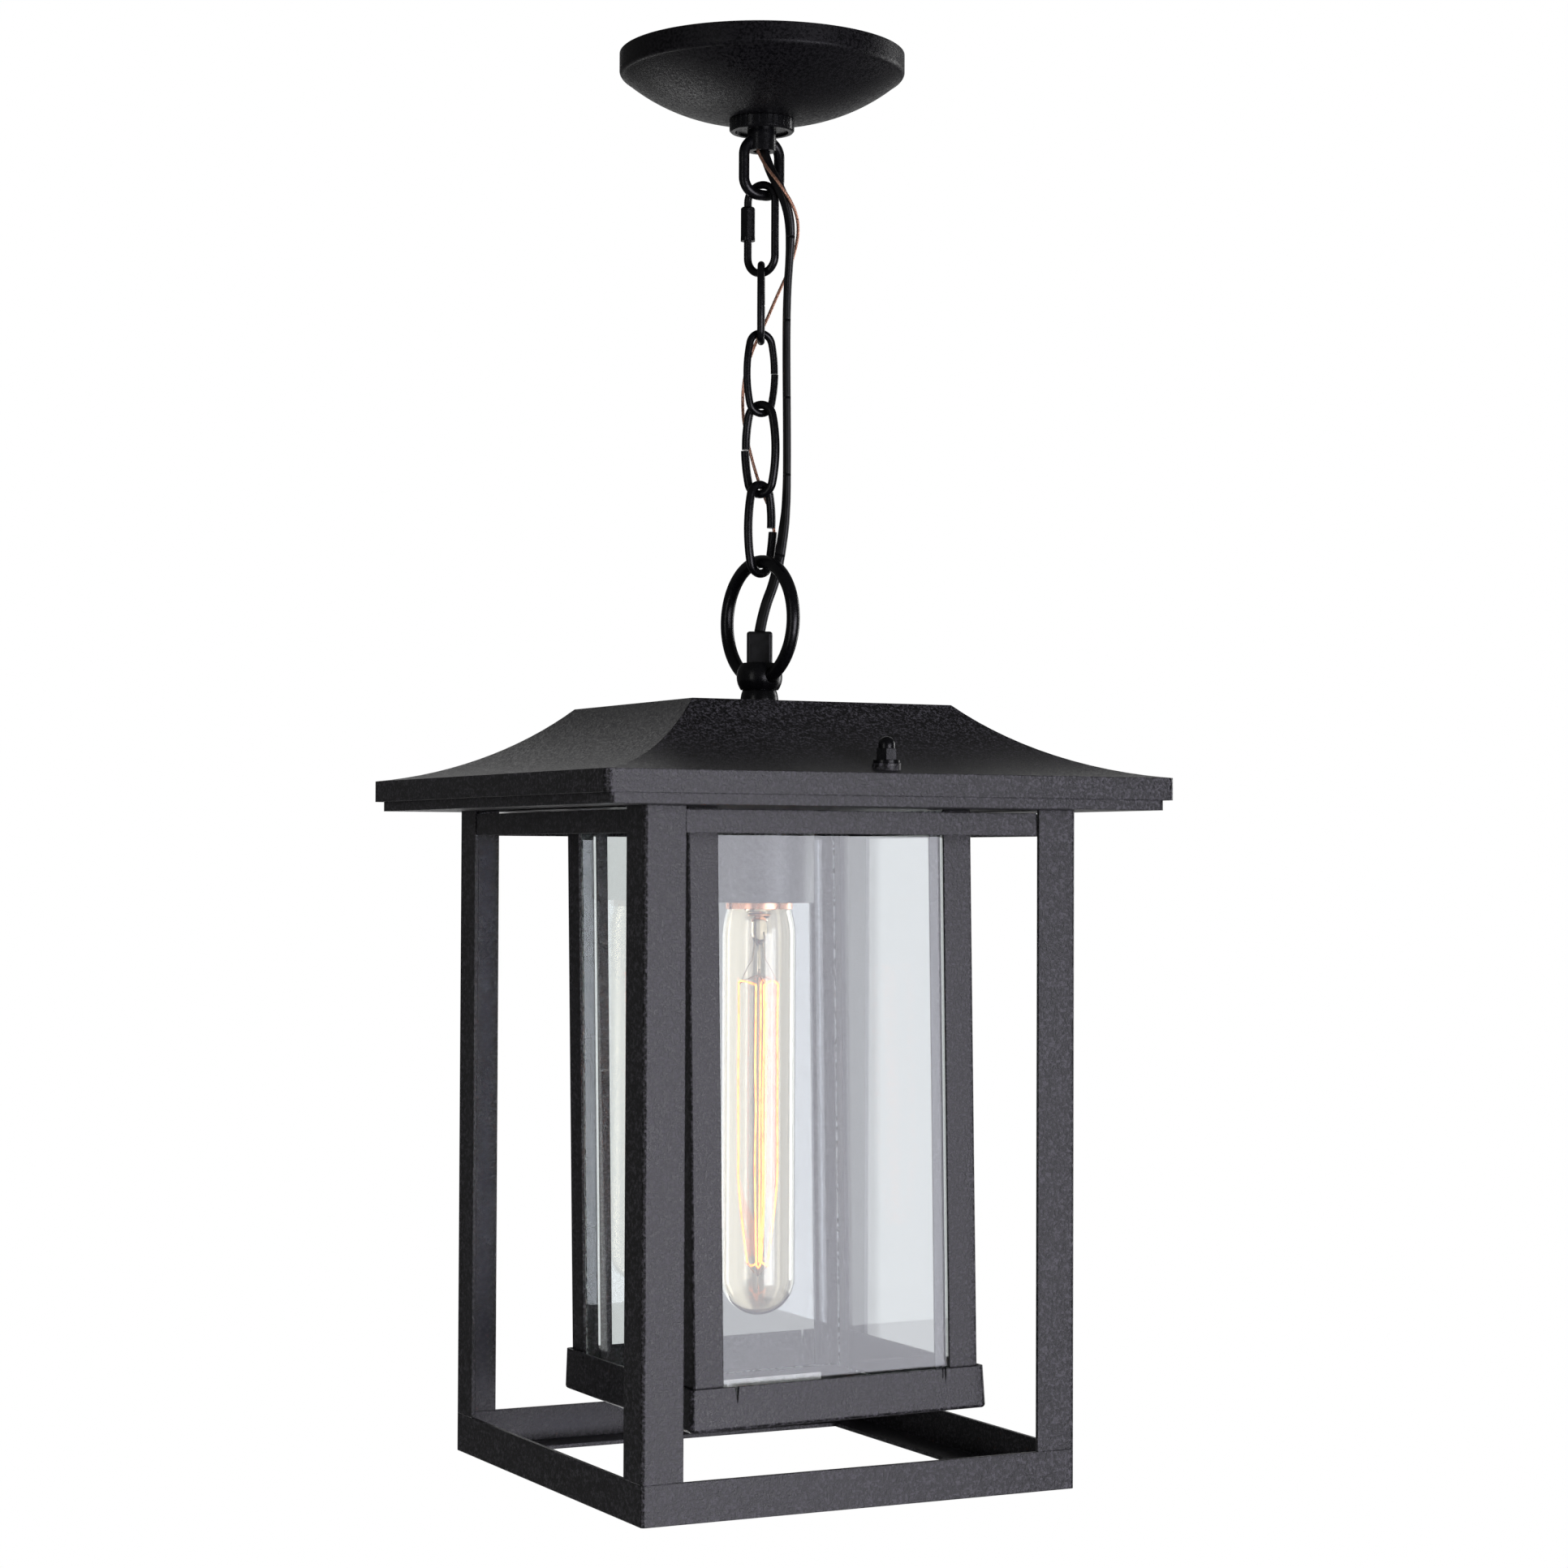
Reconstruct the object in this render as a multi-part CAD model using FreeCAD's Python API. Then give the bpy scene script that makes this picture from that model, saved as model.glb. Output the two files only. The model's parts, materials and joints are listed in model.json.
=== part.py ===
import FreeCAD, Part
import os
from math import acos, cos, pi, radians, sin, sqrt, tan

# Hanging lantern on a chain, in millimetres. +Z is up, and the origin is the middle of the
# ceiling plane, where the top of the crossbar and the rim of the canopy meet the ceiling.
# The front of the lantern, with one of the two cap nuts, faces -Y.

V = FreeCAD.Vector
UP = V(0, 0, 1)
ORIGIN = V(0, 0, 0)
QUARTERS = (0, 90, 180, 270)  # the front, right, back and left sides

# ---- driving dimensions ----
LANTERN_BOTTOM = -555.0  # under side of the outer frame; lantern heights are measured from here
CONTACT_GAP = 0.35  # room between two bars that hang in each other

# Ceiling fitting
CROSSBAR = (106.0, 13.0, 2.6)  # length, width, thickness
BOX_SCREW_SPACING = 69.9
BOX_SCREW_HOLE_R = 2.3
GROUND_SCREW_X = 17.0
NIPPLE_R = 4.8
NIPPLE_BORE_R = 3.4
CANOPY_R = 56.25
CANOPY_DEPTH = 25.5
CANOPY_RIM = 7.0  # height of the upright rim
CANOPY_WALL = 1.2
CANOPY_HOLE_R = 11.0
COLLAR_NUT_R = 12.8
COLLAR_NUT_H = 4.9
COLLAR_THREAD_R = 10.4
COLLAR_RIBS = 30
NECK_R = 5.7
NECK_BOTTOM = -38.0
LOOP_WIRE = 4.2
LOOP_HALF_WIDTH = 7.95  # to the middle of the wire, as for every ring and link here
LOOP_TOP = -33.3
LOOP_BOTTOM = -55.2
LOOP_CORNER_R = 6.5
LOOP_TURN = 3.1  # direction of the loop's width, in degrees from +X about +Z

# Quick link: an oval with a gap in one leg, closed by a hexagonal sleeve
QUICK_WIRE = 3.1
QUICK_HALF_WIDTH = 6.45
QUICK_LENGTH = 35.0  # from the middle of the top bar to the middle of the bottom bar
QUICK_TURN = -60.5
SLEEVE_FLATS = 5.4
SLEEVE_LENGTH = 13.5
SLEEVE_DROP = 8.2  # from the middle of the top bar down to the sleeve's top
QUICK_GAP = 4.0

# Chain links: wire, half width, length, end radius, gap, jog between the two ends, direction
LINKS = (
    (2.9, 6.1, 30.3, 5.0, 0.5, 0.5, 62.5),
    (2.9, 6.2, 31.7, 5.0, 0.3, 0.2, 2.5),
    (3.3, 6.8, 35.3, 5.5, 0.5, 0.4, 123.5),
    (3.4, 6.3, 35.0, 5.0, 1.6, 0.9, 15.6),
)

RING_WIRE = 5.2
RING_R = 23.3
RING_TURN = -82.6

# Hub on the roof, as heights above the bottom
HUB_COLLAR_R = 7.5
HUB_NECK_R = 6.6
HUB_BALL_R = 9.0
HUB_BALL_MIDDLE = 309.5
HUB_BALL_TOP = 314.9
HUB_NECK_TOP = 304.4
HUB_STEM_R = 4.8
GLAND = (10.1, 7.6, 12.4)  # width, depth, height
GLAND_TURN = -27.0

# Roof, as half widths of a square and heights above the bottom
ROOF_WALL = 1.2
ROOF_TOP = 297.6
ROOF_TOP_HALF = 55.15
ROOF_MIDDLE = (82.0, 279.0)
ROOF_EAVE_HALF = 117.35
ROOF_EAVE = 269.05
FASCIA_BOTTOM = 260.7
BASE_HALF = 114.4
BASE_BOTTOM = 256.9
BASE_TOP = 263.4
BASE_WALL = 1.4
BASE_OPENING_R = 32.0
CAP_NUT_Y = 104.5
CAP_SEAT = 272.9
CAP_DOME_R = 3.1
STUD_R = 2.0

# Outer frame, made of thin angle
FRAME_HALF = 90.0
FRAME_WALL = 1.6
POST_LEG = 16.2
BOTTOM_RAIL_H = 14.9
TOP_RAIL = (247.1, 255.6)
TOP_RAIL_FLANGE = 14.0
TOP_RAIL_GAP = 1.1
FRAME_CORNER_R = 1.5

# Inner glass cage and its tray
CAGE_HALF = 59.5
CAGE_WALL = 1.2
CAGE_LEG = 12.0
GLASS_THICK = 2.0
SIDE_PANE_INSET = 1.5  # the left and right panes stand this much further in than the others
SIDE_PANE_HALF = 51.5
TRAY_HALF = 61.75
TRAY_BOTTOM = 27.5
TRAY_TOP = 43.5
TRAY_WALL = 1.2
TRAY_CORNER_R = 2.0
TRAY_BOTTOM_R = 1.4
TRAY_FLARE = 0.3  # its walls lean out by this much each way from half height
TRAY_SLITS = ((-42.8, 1.6, 6.4), (43.4, 0.6, 3.8), (44.5, 0.7, 6.4))  # place, width at the top, depth
# The cage and its tray sit askew under the roof: moved sideways, turned and tilted a little
CAGE_SHIFT = (1.8, -1.5)
CAGE_TURN = -1.2
CAGE_TILT = -0.9
CAGE_TILT_AXIS = (0.13, 0.99)
CAGE_ROOM = 1.2  # between the glass and the pan above it

# Lamp
CUP_R = 21.5
CUP_BOTTOM = 221.0
CUP_TOP = 263.2
CUP_WALL = 1.0
SOCKET_R = 17.5
SOCKET_BORE_R = 13.6
BULB_R = 14.3
BULB_TIP = 60.0
BULB_NECK = 218.5
BULB_WALL = 0.8
BULB_BASE_R = 13.1
BULB_BASE_TOP = 243.0
FILAMENT_R = (4.2, 8.2, 8.2)  # at the three heights below: the strands draw in at the foot
FILAMENT = (80.0, 108.0, 189.0)
FILAMENT_LEGS = 8
FILAMENT_WIRE_R = 0.3
STEM_WIRE_R = 0.6

# Cords. A route's points are (to the right, towards the viewer, up), where the viewer stands
# at VIEW_TURN from the front. Each route is cut in the middle of the runs that CUTS names, so
# that every piece bends at one joint of the chain.
VIEW_TURN = -26.5
POWER_CORD_R = 1.8
POWER_ROUTE = (
    (0.8, -0.4, -37.2),
    (2.4, 2.6, -44.5),
    (8.2, 7.4, -55.5),
    (11.4, 5.8, -66.5),
    (11.3, 3.0, -78.5),
    (10.2, 1.6, -94.0),
    (10.0, 1.0, -115.0),
    (10.5, 0.2, -155.0),
    (10.4, 0.0, -176.0),
    (9.3, 0.5, -188.0),
    (6.4, 0.3, -206.5),
    (1.5, 0.3, -219.0),
    (0.0, 0.0, -227.2),
)
POWER_CUTS = (3, 5, 6, 7, 9)
GROUND_WIRE_R = 0.55
GROUND_ROUTE = (
    (-1.9, 1.3, -37.2),
    (0.4, 5.4, -43.5),
    (7.2, 11.2, -53.0),
    (13.0, 8.6, -61.5),
    (15.0, 3.6, -70.0),
    (12.0, -3.4, -82.0),
    (6.6, -8.0, -93.0),
    (1.8, -10.0, -104.0),
    (-3.6, -9.4, -115.5),
    (-7.0, -7.4, -127.5),
    (-7.2, -6.2, -141.0),
    (-5.6, -6.6, -149.5),
    (-3.4, -7.2, -159.0),
    (0.2, -8.2, -170.5),
    (4.8, -9.0, -180.5),
    (5.8, -8.6, -190.0),
    (6.0, -6.4, -201.0),
    (4.0, -4.4, -210.5),
    (1.4, -3.5, -219.5),
    (0.4, -3.1, -227.5),
)
GROUND_CUTS = (3, 6, 9, 12, 15)


# ---- helpers ----
def save(name, shape):
    shape = shape.removeSplitter() if shape.ShapeType != "Solid" else shape
    solids = shape.Solids
    if len(solids) != 1 or not shape.isValid():
        print("CHECK", name, "solids", len(solids), "valid", shape.isValid())
    shape.exportStep("parts/" + name + ".step")


def block(x0, x1, y0, y1, z0, z1):
    return Part.makeBox(x1 - x0, y1 - y0, z1 - z0, V(x0, y0, z0))


def rod(radius, z0, z1, x=0.0, y=0.0):
    return Part.makeCylinder(radius, z1 - z0, V(x, y, z0))


def turned(shape, angle):
    copy = shape.copy()
    copy.rotate(ORIGIN, UP, angle)
    return copy


def askew(shape):
    copy = turned(shape, CAGE_TURN)
    copy.rotate(V(0, 0, BASE_BOTTOM), V(CAGE_TILT_AXIS[0], CAGE_TILT_AXIS[1], 0), CAGE_TILT)
    copy.translate(V(CAGE_SHIFT[0], CAGE_SHIFT[1], 0))
    return copy


def at_height(shape):
    """Move a shape made in lantern heights down to where the lantern hangs."""
    copy = shape.copy()
    copy.translate(V(0, 0, LANTERN_BOTTOM))
    return copy


def rounded_square(half, corner, z0, z1):
    solid = block(-half, half, -half, half, z0, z1)
    upright = [e for e in solid.Edges if abs(e.tangentAt(e.FirstParameter).z) > 0.9]
    return solid.makeFillet(corner, upright)


def flat_outline(half, corner, z):
    """The outline of a rounded square, lying flat."""
    solid = rounded_square(half, corner, z, z + 1.0)
    lowest = min(solid.Faces, key=lambda face: face.CenterOfMass.z)
    return lowest.OuterWire


def lathe(points):
    """Revolve an outline of (radius, height) points about the Z axis. A triple (r, z, "arc")
    is the middle point of an arc between its two neighbours."""
    edges = []
    at = 0
    while at < len(points) - 1:
        start = V(points[at][0], 0, points[at][1])
        if len(points[at + 1]) == 3:
            middle = V(points[at + 1][0], 0, points[at + 1][1])
            end = V(points[at + 2][0], 0, points[at + 2][1])
            edges.append(Part.Arc(start, middle, end).toShape())
            at += 2
        else:
            end = V(points[at + 1][0], 0, points[at + 1][1])
            edges.append(Part.makeLine(start, end))
            at += 1
    edges.append(Part.makeLine(end, V(points[0][0], 0, points[0][1])))
    return Part.Face(Part.Wire(edges)).revolve(ORIGIN, UP, 360)


def hexagon(flats, z0, z1):
    corners = [V(flats / sqrt(3) * cos(k * pi / 3), flats / sqrt(3) * sin(k * pi / 3), z0)
               for k in range(7)]
    return Part.Face(Part.makePolygon(corners)).extrude(V(0, 0, z1 - z0))


def sweep(edges, radius):
    """A round bar along edges that follow each other and are tangent to each other."""
    path = Part.Wire(edges)
    first = edges[0]
    start = first.valueAt(first.FirstParameter)
    along = first.tangentAt(first.FirstParameter)
    section = Part.Wire(Part.makeCircle(radius, start, along))
    return path.makePipeShell([section], True, False)


def in_plane(x, z):
    return V(x, 0, z)


def tangent_arc(start, along, end):
    """The arc that leaves start in the direction along and goes to end, in the XZ plane."""
    across = V(along.z, 0, -along.x)
    chord = end - start
    radius = chord.Length ** 2 / (2 * across.dot(chord))
    centre = start + across * radius
    half = ((start - centre) + (end - centre)).normalize() * abs(radius)
    return Part.Arc(start, centre + half, end).toShape()


def hung(shape, top, angle):
    """Turn a bar made in the XZ plane about its own top point, and hang it at that height."""
    copy = turned(shape, angle)
    copy.translate(V(0, 0, top))
    return copy


# ---- ceiling fitting ----
def crossbar():
    length, width, thick = CROSSBAR
    bar = block(-length / 2, length / 2, -width / 2, width / 2, -thick, 0)
    ends = [e for e in bar.Edges if abs(e.tangentAt(e.FirstParameter).z) > 0.9]
    bar = bar.makeFillet(width / 2 - 0.1, ends)
    holes = [rod(BOX_SCREW_HOLE_R, -5, 5, side * BOX_SCREW_SPACING / 2) for side in (-1, 1)]
    holes.append(rod(NIPPLE_R + 0.05, -5, 5))
    holes.append(rod(1.95, -5, 5, GROUND_SCREW_X))
    return bar.cut(holes)


def nipple():
    return rod(NIPPLE_R, -26.0, -0.3).cut(rod(NIPPLE_BORE_R, -27.0, 1.0))


def lock_nut():
    thick = CROSSBAR[2]
    return hexagon(14.0, -thick - 3.2, -thick).cut(rod(NIPPLE_R + 0.05, -9.0, 0.0))


def ground_screw():
    thick = CROSSBAR[2]
    shank = rod(1.9, -thick - 1.0, -0.4)
    head = hexagon(7.0, -thick - 3.0, -thick)
    screw = shank.fuse(head)
    screw.translate(V(GROUND_SCREW_X, 0, 0))
    return screw


def canopy():
    hole, rim, wall = CANOPY_HOLE_R, CANOPY_R, CANOPY_WALL
    crown = (36.0, -20.0)  # a point of the crown, half way in
    outside = [(rim, 0), (rim, -CANOPY_RIM), (rim - 0.5, -CANOPY_RIM - 1.1, "arc"),
               (rim - 1.6, -CANOPY_RIM - 1.9), crown + ("arc",), (hole, -CANOPY_DEPTH)]
    inside = [(hole, -CANOPY_DEPTH + wall), (crown[0], crown[1] + wall * 1.1, "arc"),
              (rim - wall - 1.0, -CANOPY_RIM - 0.6), (rim - wall, -CANOPY_RIM + 0.6), (rim - wall, 0)]
    return lathe(outside + inside)


def collar_nut():
    top = -CANOPY_DEPTH - 0.05
    bottom = top - COLLAR_NUT_H
    body = lathe([(COLLAR_THREAD_R + 0.15, top), (COLLAR_NUT_R, top), (COLLAR_NUT_R, bottom + 0.7),
                  (COLLAR_NUT_R - 0.6, bottom), (COLLAR_THREAD_R + 0.15, bottom)])
    grooves = []
    for k in range(COLLAR_RIBS):
        groove = rod(0.42, bottom + 0.8, top + 1.0, COLLAR_NUT_R + 0.12)
        grooves.append(turned(groove, 360.0 * k / COLLAR_RIBS))
    return body.cut(grooves)


def canopy_loop():
    half, corner, radius = LOOP_HALF_WIDTH, LOOP_CORNER_R, LOOP_WIRE / 2
    top, bottom = LOOP_TOP, LOOP_BOTTOM
    edges = []
    points = [in_plane(half, top), in_plane(half, bottom), in_plane(-half, bottom), in_plane(-half, top)]
    for k, point in enumerate(points):
        before = (points[k - 1] - point).normalize()
        after = (points[(k + 1) % 4] - point).normalize()
        start, end = point + before * corner, point + after * corner
        centre = point + (before + after) * corner
        middle = centre + (point - centre).normalize() * corner
        edges.append(Part.Arc(start, middle, end).toShape())
        following = points[(k + 1) % 4] - after * corner
        edges.append(Part.makeLine(end, following))
    loop = turned(sweep(edges, radius), LOOP_TURN)
    thread = rod(COLLAR_THREAD_R, -29.6, -18.0)
    neck = rod(NECK_R, NECK_BOTTOM, -29.0)
    solid = thread.fuse([neck, loop])
    wire_way = rod(NIPPLE_BORE_R, NECK_BOTTOM - 3.0, -20.0)
    seat = rod(NIPPLE_R + 0.02, -26.02, -10.0)
    return solid.cut([wire_way, seat])


# ---- chain ----
def quick_link():
    half, length = QUICK_HALF_WIDTH, QUICK_LENGTH
    top, bottom = -half, -length + half
    sleeve_top = -SLEEVE_DROP
    cut_high = sleeve_top - 1.0
    cut_low = cut_high - QUICK_GAP
    edges = [
        Part.makeLine(in_plane(-half, cut_high), in_plane(-half, top)),
        Part.Arc(in_plane(-half, top), in_plane(0, 0), in_plane(half, top)).toShape(),
        Part.makeLine(in_plane(half, top), in_plane(half, bottom)),
        Part.Arc(in_plane(half, bottom), in_plane(0, -length), in_plane(-half, bottom)).toShape(),
        Part.makeLine(in_plane(-half, bottom), in_plane(-half, cut_low)),
    ]
    return sweep(edges, QUICK_WIRE / 2)


def quick_sleeve():
    top = -SLEEVE_DROP
    bottom = top - SLEEVE_LENGTH
    wide = SLEEVE_FLATS / sqrt(3)
    nut = hexagon(SLEEVE_FLATS, bottom, top)
    chamfer = lathe([(0, bottom), (wide - 0.5, bottom), (wide + 0.05, bottom + 0.6), (wide + 0.05, top - 0.9),
                     (wide - 0.8, top), (0, top)])
    collar = rod(SLEEVE_FLATS / 2 + 0.15, bottom, bottom + 1.5)
    solid = nut.common(chamfer).fuse(collar).cut(rod(QUICK_WIRE / 2 + 0.08, bottom - 1, top + 1))
    solid.translate(V(-QUICK_HALF_WIDTH, 0, 0))
    return solid


def chain_link(wire, half, length, end_r, gap, jog):
    """An oval of four arcs whose right side is cut, with the two ends a little out of line."""
    middle = -length / 2
    reach = length / 2 - end_r
    side_r = (half ** 2 + reach ** 2 - end_r ** 2) / (2 * (half - end_r))
    across = (side_r - half) / (side_r - end_r)
    upward = reach / (side_r - end_r)
    x, z = end_r * across, reach + end_r * upward
    high_right, high_left = in_plane(x, middle + z), in_plane(-x, middle + z)
    low_right, low_left = in_plane(x, middle - z), in_plane(-x, middle - z)
    end_high = in_plane(half - jog / 2, middle + gap / 2)
    end_low = in_plane(half + jog / 2, middle - gap / 2)
    upper = tangent_arc(high_right, in_plane(upward, -across), end_high)
    lower = tangent_arc(low_right, in_plane(upward, across), end_low)
    half_way = upper.valueAt((upper.FirstParameter + upper.LastParameter) / 2)
    edges = [
        Part.Arc(end_high, half_way, high_right).toShape(),
        Part.Arc(high_right, in_plane(0, 0), high_left).toShape(),
        Part.Arc(high_left, in_plane(-half, middle), low_left).toShape(),
        Part.Arc(low_left, in_plane(0, -length), low_right).toShape(),
        lower,
    ]
    return sweep(edges, wire / 2)


def chain_tops():
    """Heights of the middle of each top bar: the quick link, the four links and the ring."""
    wires = [QUICK_WIRE] + [link[0] for link in LINKS] + [RING_WIRE]
    lengths = [QUICK_LENGTH] + [link[2] for link in LINKS]
    tops = []
    above, above_wire = LOOP_BOTTOM, LOOP_WIRE
    for k, wire in enumerate(wires):
        top = above + (above_wire + wire) / 2 + CONTACT_GAP
        tops.append(top)
        above_wire = wire
        above = top - lengths[k] if k < len(lengths) else top
    return tops


def hanging_ring(middle):
    ring = Part.makeTorus(RING_R, RING_WIRE / 2, ORIGIN, V(0, 1, 0))
    ring = turned(ring, RING_TURN)
    ring.translate(V(0, 0, middle))
    return ring


# ---- hub and strain relief, in lantern heights ----
def hub(ring_middle):
    ball = Part.makeSphere(HUB_BALL_R, V(0, 0, HUB_BALL_MIDDLE))
    ball = ball.common(block(-20, 20, -20, 20, HUB_NECK_TOP, HUB_BALL_TOP))
    neck = lathe([(0, ROOF_TOP), (HUB_COLLAR_R, ROOF_TOP), (HUB_COLLAR_R, ROOF_TOP + 2.2),
                  (HUB_COLLAR_R - 0.2, ROOF_TOP + 4.4, "arc"), (HUB_NECK_R, HUB_NECK_TOP), (0, HUB_NECK_TOP)])
    stem = rod(HUB_STEM_R, CUP_TOP - CUP_WALL, ROOF_TOP)
    tunnel = Part.makeTorus(RING_R, RING_WIRE / 2 + 0.2, ORIGIN, V(0, 1, 0))
    tunnel = turned(tunnel, RING_TURN)
    tunnel.translate(V(0, 0, ring_middle - LANTERN_BOTTOM))
    wire_way = rod(2.6, CUP_TOP - 3.0, ROOF_TOP + 2.0)
    return ball.fuse([neck, stem]).cut([tunnel, wire_way])


def hub_nut():
    top = ROOF_TOP - ROOF_WALL
    return hexagon(15.0, top - 4.0, top).cut(rod(HUB_STEM_R + 0.05, top - 9, top + 1))


def strain_relief():
    width, deep, high = GLAND
    solid = block(-width / 2, width / 2, -deep / 2, deep / 2, HUB_BALL_TOP, HUB_BALL_TOP + high)
    upright = [e for e in solid.Edges if abs(e.tangentAt(e.FirstParameter).z) > 0.9]
    solid = solid.makeFillet(1.6, upright)
    top = [e for e in solid.Edges if abs(e.CenterOfMass.z - HUB_BALL_TOP - high) < 1e-3]
    return turned(solid.makeFillet(1.1, top), GLAND_TURN)


# ---- roof ----
def roof_prism(wall):
    """The outline of the roof less a wall all round, swept both ways and kept where they meet."""
    top = ROOF_TOP - wall
    eave_half = ROOF_EAVE_HALF - wall
    eave = ROOF_EAVE - wall * 1.05
    middle_half, middle = ROOF_MIDDLE[0] - wall * 0.35, ROOF_MIDDLE[1] - wall * 0.95
    low = FASCIA_BOTTOM - (5.0 if wall else 0.0)
    right = [V(0, ROOF_TOP_HALF - wall * 0.2, top), V(0, middle_half, middle), V(0, eave_half, eave)]
    left = [V(0, -p.y, p.z) for p in right]
    edges = [
        Part.makeLine(left[0], right[0]),
        Part.Arc(right[0], right[1], right[2]).toShape(),
        Part.makeLine(right[2], V(0, eave_half, low)),
        Part.makeLine(V(0, eave_half, low), V(0, -eave_half, low)),
        Part.makeLine(V(0, -eave_half, low), left[2]),
        Part.Arc(left[2], left[1], left[0]).toShape(),
    ]
    face = Part.Face(Part.Wire(edges))
    face.translate(V(-130, 0, 0))
    prism = face.extrude(V(260, 0, 0))
    return prism.common(turned(prism, 90))


def roof_shell():
    outside = roof_prism(0.0)
    rounded = rounded_square(ROOF_EAVE_HALF, 3.0, 200.0, 320.0)
    shell = outside.common(rounded).cut(roof_prism(ROOF_WALL))
    seats, holes = [], [rod(HUB_STEM_R + 0.05, 280.0, 320.0)]
    for side in (-1, 1):
        seat = rod(5.3, ROOF_EAVE - 3.0, CAP_SEAT, 0, side * CAP_NUT_Y)
        seats.append(seat.cut(roof_prism(ROOF_WALL)))
        holes.append(rod(STUD_R + 0.6, 240.0, 300.0, 0, side * CAP_NUT_Y))
    return shell.fuse(seats).cut(holes)


def roof_base():
    """A pan under the roof: it closes the eaves, and carries the frame, the cage and the studs."""
    pan = rounded_square(BASE_HALF, 2.0, BASE_BOTTOM, BASE_TOP)
    inner = BASE_HALF - BASE_WALL
    pan = pan.cut(block(-inner, inner, -inner, inner, BASE_BOTTOM + BASE_WALL, BASE_TOP + 1))
    pan = pan.cut(rod(BASE_OPENING_R, BASE_BOTTOM - 1, BASE_TOP))
    studs = [rod(STUD_R, BASE_BOTTOM + 0.5, CAP_SEAT + 6.0, 0, side * CAP_NUT_Y) for side in (-1, 1)]
    return pan.fuse(studs)


def cap_nut(side):
    flange = rod(5.0, CAP_SEAT + 0.05, CAP_SEAT + 1.2)
    nut = hexagon(7.2, CAP_SEAT + 0.6, CAP_SEAT + 5.4)
    barrel = rod(CAP_DOME_R, CAP_SEAT + 5.0, CAP_SEAT + 6.8)
    dome = Part.makeSphere(CAP_DOME_R, V(0, 0, CAP_SEAT + 6.8))
    solid = flange.fuse([nut, barrel, dome]).cut(rod(STUD_R + 0.15, CAP_SEAT - 1, CAP_SEAT + 6.4))
    solid.translate(V(0, side * CAP_NUT_Y, 0))
    return solid


# ---- outer frame: made at the front or at the front left corner, and turned ----
def outer_post():
    half, leg, wall = FRAME_HALF, POST_LEG, FRAME_WALL
    low, high = BOTTOM_RAIL_H, BASE_BOTTOM
    solid = block(-half, -half + leg, -half, -half + leg, low, high)
    solid = solid.cut(block(-half + wall, 0, -half + wall, 0, low - 1, high + 1))
    return solid.common(rounded_square(half, FRAME_CORNER_R, low - 1, high + 1))


def mitred(solid, half, low, high):
    """Keep the part of a front rail between the two diagonals through the middle."""
    points = [V(0, 0, low), V(-2 * half, -2 * half, low), V(2 * half, -2 * half, low), V(0, 0, low)]
    wedge = Part.Face(Part.makePolygon(points)).extrude(V(0, 0, high - low))
    return solid.common(wedge)


def bottom_rail():
    half, leg, wall, high = FRAME_HALF, POST_LEG, FRAME_WALL, BOTTOM_RAIL_H
    solid = block(-half, half, -half, -half + wall, 0, high)
    solid = solid.fuse(block(-half, half, -half, -half + leg, 0, wall))
    solid = mitred(solid, half, -1, high + 1)
    return solid.common(rounded_square(half, FRAME_CORNER_R, -1, high + 1))


def top_rail(gap_first):
    half, wall = FRAME_HALF - 0.25, FRAME_WALL
    low, high = TOP_RAIL
    side = FRAME_HALF - POST_LEG
    x0 = -side + (TOP_RAIL_GAP if gap_first else 0.1)
    x1 = side - (0.1 if gap_first else TOP_RAIL_GAP)
    upright = block(x0, x1, -half, -half + wall, low, high)
    flange = block(x0, x1, -half, -half + TOP_RAIL_FLANGE, high - wall, high)
    return upright.fuse(flange)


# ---- inner cage: made square, turned to its side, and then put askew ----
def cage_post(angle):
    half, leg, wall = CAGE_HALF, CAGE_LEG, CAGE_WALL
    low, high = TRAY_BOTTOM + TRAY_WALL, BASE_BOTTOM + CAGE_ROOM
    solid = block(-half, -half + leg, -half, -half + leg, low, high)
    solid = solid.cut(block(-half + wall, 0, -half + wall, 0, low - 1, high + 1))
    solid = solid.common(rounded_square(half, 1.0, low - 1, high + 1))
    pan_bottom = block(-2 * half, 2 * half, -2 * half, 2 * half, BASE_BOTTOM, high + 5)
    return askew(turned(solid, angle)).cut(pan_bottom)


def glass_pane(angle):
    at_side = angle in (90, 270)
    outer = CAGE_HALF - CAGE_WALL - (SIDE_PANE_INSET if at_side else 0.05)
    reach = SIDE_PANE_HALF if at_side else CAGE_HALF - CAGE_WALL - 0.1
    low, high = TRAY_BOTTOM + TRAY_WALL + 0.05, BASE_BOTTOM - CAGE_ROOM
    pane = block(-reach, reach, -outer, -outer + GLASS_THICK, low, high)
    return askew(turned(pane, angle))


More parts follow.
